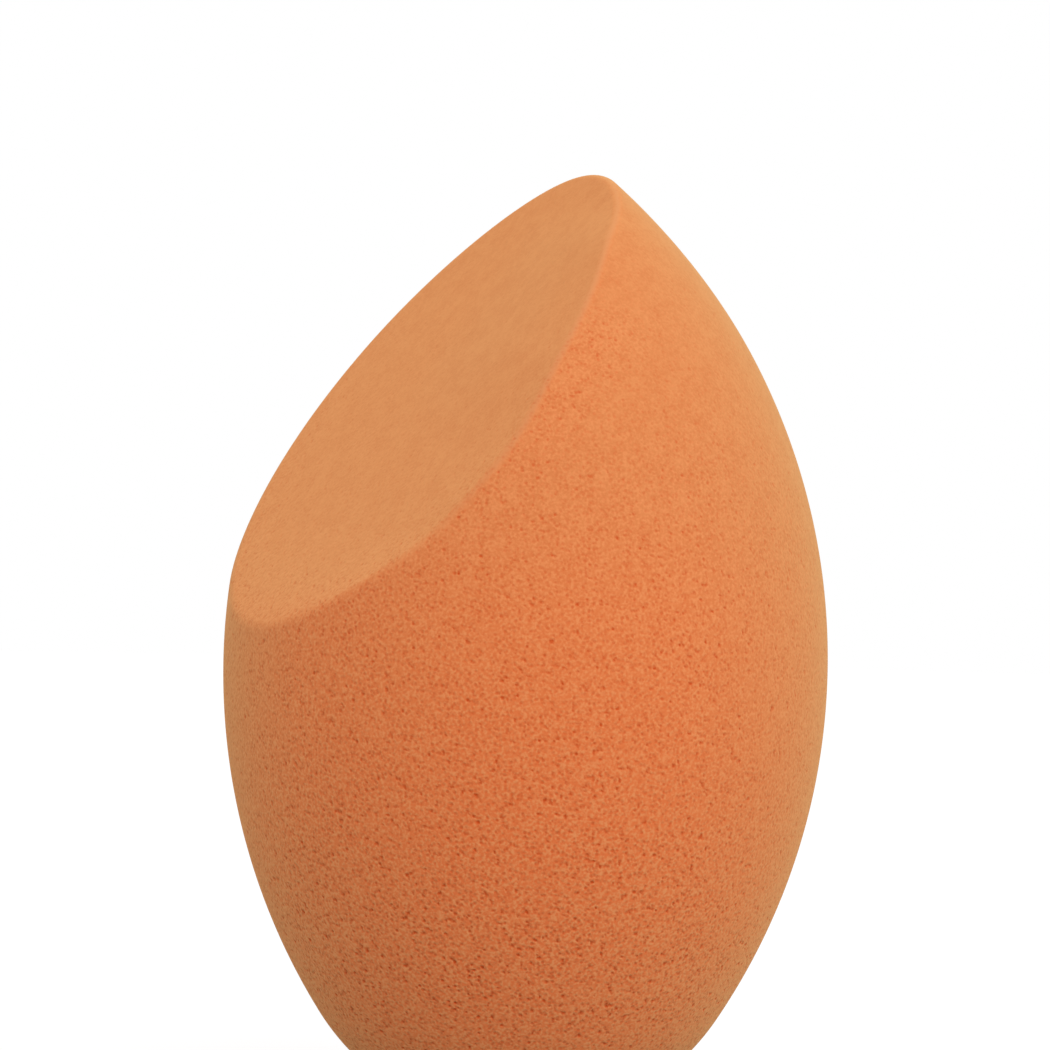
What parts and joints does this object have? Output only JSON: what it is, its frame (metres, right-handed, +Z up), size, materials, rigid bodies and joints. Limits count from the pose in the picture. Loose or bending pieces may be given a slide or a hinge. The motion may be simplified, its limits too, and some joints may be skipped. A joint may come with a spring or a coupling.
{
  "type": "makeup sponge",
  "caption": "Drop-shaped soft foam makeup sponge with a round lower end and one slanted flat cut face across its upper end.",
  "frame": {"origin": "on the body's axis, in the small flat that it stands on", "axes": "+Z up along the body's axis, from the round end to the cut end; the slanted cut face looks towards -X and up; +Y completes the frame, and the body is the same on both sides of the XZ plane"},
  "size_m": [0.042, 0.042, 0.0655],
  "materials": {
    "orange_foam": "matte"
  },
  "bodies": {
    "root": {"foam_body": "orange_foam"}
  },
  "joints": []
}
